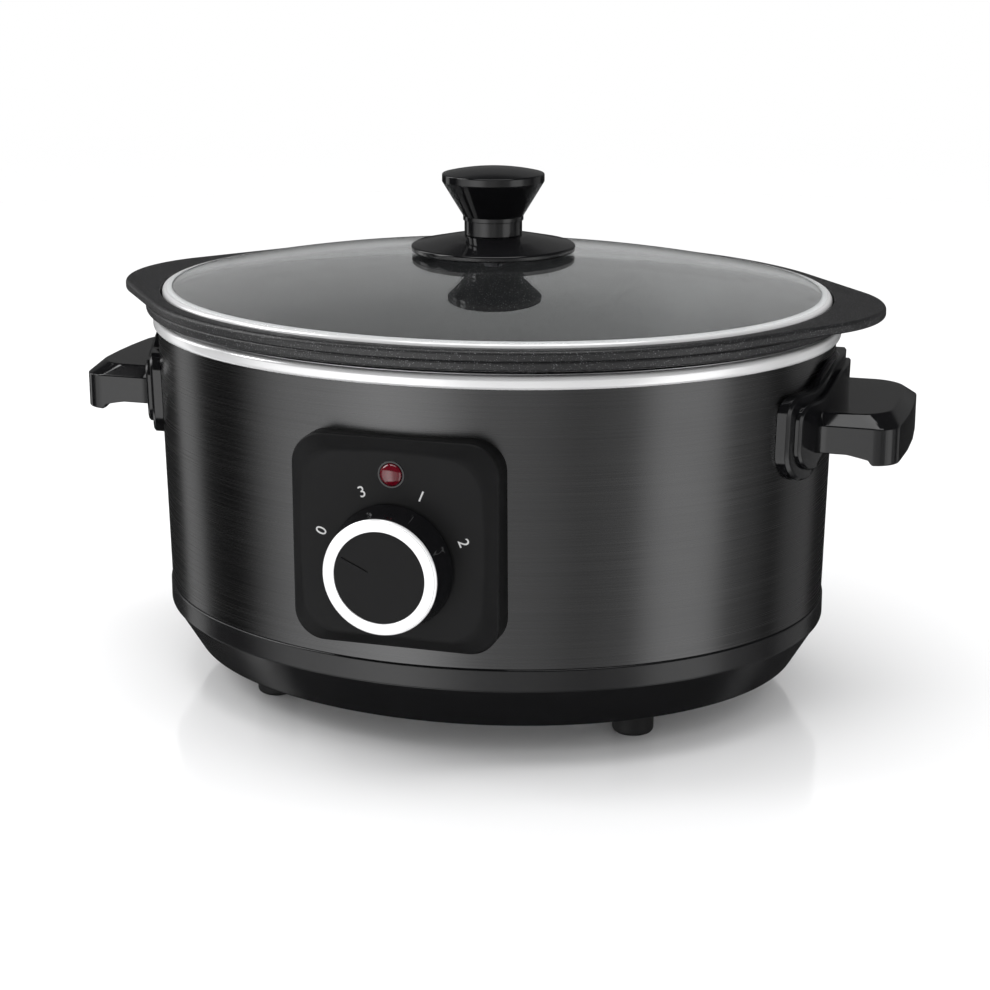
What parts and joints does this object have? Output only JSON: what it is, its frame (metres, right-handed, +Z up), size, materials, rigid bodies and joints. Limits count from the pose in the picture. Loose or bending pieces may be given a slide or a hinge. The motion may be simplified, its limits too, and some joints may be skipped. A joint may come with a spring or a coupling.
{
  "type": "slow cooker",
  "caption": "Oval electric slow cooker: lift-out searing pot with ears, domed glass lid with knob, rotary heat dial, lamp, end handles and base on feet.",
  "frame": {"origin": "centre of the cooker's footprint, on the surface it stands on", "axes": "+X to the right along the long side, +Y to the rear, +Z up; the dial faces -Y"},
  "size_m": [0.38, 0.2946, 0.2341],
  "materials": {
    "base_plastic": "semi-gloss moulded black",
    "gloss_black": "glossy moulded black",
    "control_plastic": "satin moulded black",
    "dark_brushed_steel": "dark tinted steel, brushed round the body",
    "polished_steel": "polished",
    "plain_steel": "plain sheet",
    "fastener_steel": "zinc plated",
    "nonstick_coating": "fine speckled non-stick coating",
    "clear_glass": "clear toughened glass",
    "foot_rubber": "black rubber",
    "pale_plastic": "heat-resistant moulding",
    "heater_mica": "mica heater band",
    "glass_fibre": "glass-fibre blanket",
    "red_lens": "dark red clear plastic",
    "lamp_glass": "neon lamp",
    "lead_insulation": "silicone insulated lead"
  },
  "bodies": {
    "base": {"base_housing": "base_plastic", "bottom_cover": "base_plastic", "cover_screws": "fastener_steel", "feet": "foot_rubber", "foot_screws": "fastener_steel", "cord_gland": "foot_rubber", "terminal_block": "pale_plastic", "outer_shell": "dark_brushed_steel", "trim_ring": "polished_steel", "heating_well": "plain_steel", "tie_stud": "fastener_steel", "tie_nut": "fastener_steel", "heater_band": "heater_mica", "heater_strap": "plain_steel", "insulation_blanket": "glass_fibre", "thermal_cutout": "pale_plastic", "control_bezel": "control_plastic", "bezel_screws": "fastener_steel", "rotary_switch": "pale_plastic", "switch_nut": "fastener_steel", "lamp_lens": "red_lens", "neon_lamp": "lamp_glass", "switch_leads": "lead_insulation", "handle_plate_right": "gloss_black", "handle_plate_left": "gloss_black", "handle_right": "gloss_black", "handle_left": "gloss_black", "handle_screws": "fastener_steel"},
    "dial": {"control_dial": "gloss_black", "dial_ring": "polished_steel", "dial_cap": "control_plastic", "switch_shaft": "plain_steel"},
    "pot": {"pot": "nonstick_coating"},
    "lid": {"lid_glass": "clear_glass", "lid_rim": "polished_steel", "knob_flange": "gloss_black", "lid_knob": "gloss_black", "lid_gasket": "foot_rubber", "lid_washer": "plain_steel", "lid_screw": "fastener_steel"}
  },
  "joints": [
    {"name": "dial_turn", "type": "hinge", "parent": "base", "child": "dial", "pos_m": [0, -0.14, 0.09], "axis": [0, 1, 0], "range_deg": [0, 135]},
    {"name": "pot_lift", "type": "slide", "parent": "base", "child": "pot", "axis": [0, 0, 1], "range_m": [0, 0.12]},
    {"name": "lid_lift", "type": "slide", "parent": "pot", "child": "lid", "axis": [0, 0, 1], "range_m": [0, 0.08]}
  ]
}
